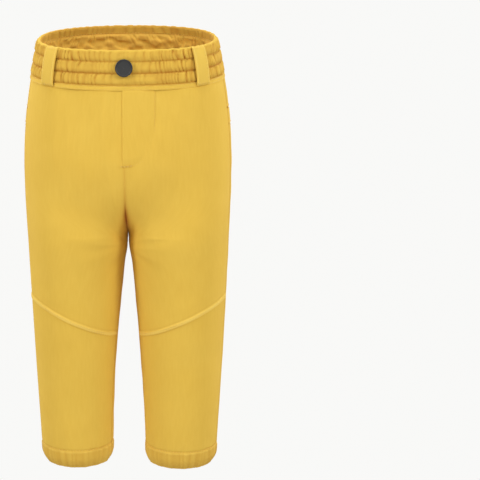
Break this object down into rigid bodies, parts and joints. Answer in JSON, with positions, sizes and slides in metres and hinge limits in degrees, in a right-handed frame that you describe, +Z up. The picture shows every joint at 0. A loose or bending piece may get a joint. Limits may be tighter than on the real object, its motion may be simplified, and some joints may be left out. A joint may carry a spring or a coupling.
{
  "type": "elastic-waist trousers",
  "caption": "Small child's pull-on trousers with a gathered elastic waistband, belt loops, a fixed button, mock fly, back welt pockets, shaped knee seams and elastic hems.",
  "frame": {"origin": "centre of the waist opening, level with its sides", "axes": "+Z up, the front faces -Y, +X is the wearer's left"},
  "size_m": [0.2152, 0.1438, 0.4648],
  "materials": {
    "main_cloth": "matte fine cotton twill, golden yellow",
    "inner_cloth": "matte cotton, wrong side",
    "elastic": "woven elastic, off-white",
    "button_metal": "dark grey, satin"
  },
  "bodies": {
    "hips": {"waistband_outer": "main_cloth", "waistband_elastic": "elastic", "waistband_facing": "inner_cloth", "belt_loop_back": "main_cloth", "button_cap": "button_metal", "button_tack": "button_metal", "fly_facing": "inner_cloth", "belt_loop_front_left": "main_cloth", "belt_loop_front_right": "main_cloth", "belt_loop_side_left": "main_cloth", "belt_loop_side_right": "main_cloth", "front_hip_panel_left": "main_cloth", "front_hip_panel_right": "main_cloth", "back_hip_panel_left": "main_cloth", "back_hip_panel_right": "main_cloth", "hip_fold_front_left": "main_cloth", "hip_fold_front_right": "main_cloth", "hip_fold_back_left": "main_cloth", "hip_fold_back_right": "main_cloth", "pocket_welt_left": "main_cloth", "pocket_welt_right": "main_cloth", "pocket_bag_left": "inner_cloth", "pocket_bag_right": "inner_cloth"},
    "thigh_left": {"front_thigh_panel_left": "main_cloth", "back_thigh_panel_left": "main_cloth", "knee_fold_front_left": "main_cloth", "knee_fold_back_left": "main_cloth"},
    "shin_left": {"front_shin_panel_left": "main_cloth", "back_shin_panel_left": "main_cloth", "hem_elastic_left": "elastic", "hem_turn_left": "inner_cloth"},
    "thigh_right": {"front_thigh_panel_right": "main_cloth", "back_thigh_panel_right": "main_cloth", "knee_fold_front_right": "main_cloth", "knee_fold_back_right": "main_cloth"},
    "shin_right": {"front_shin_panel_right": "main_cloth", "back_shin_panel_right": "main_cloth", "hem_elastic_right": "elastic", "hem_turn_right": "inner_cloth"}
  },
  "joints": [
    {"name": "hip_bend_left", "type": "hinge", "parent": "hips", "child": "thigh_left", "pos_m": [0.054, 0.005, -0.16], "axis": [-1, 0, 0], "range_deg": [-15, 60], "deforming": ["hip_fold_front_left", "hip_fold_back_left"]},
    {"name": "hip_bend_right", "type": "hinge", "parent": "hips", "child": "thigh_right", "pos_m": [-0.054, 0.005, -0.16], "axis": [-1, 0, 0], "range_deg": [-15, 60], "deforming": ["hip_fold_front_right", "hip_fold_back_right"]},
    {"name": "knee_bend_left", "type": "hinge", "parent": "thigh_left", "child": "shin_left", "pos_m": [0.056, 0.005, -0.325], "axis": [1, 0, 0], "range_deg": [0, 60], "deforming": ["knee_fold_front_left", "knee_fold_back_left"]},
    {"name": "knee_bend_right", "type": "hinge", "parent": "thigh_right", "child": "shin_right", "pos_m": [-0.056, 0.005, -0.325], "axis": [1, 0, 0], "range_deg": [0, 60], "deforming": ["knee_fold_front_right", "knee_fold_back_right"]}
  ]
}
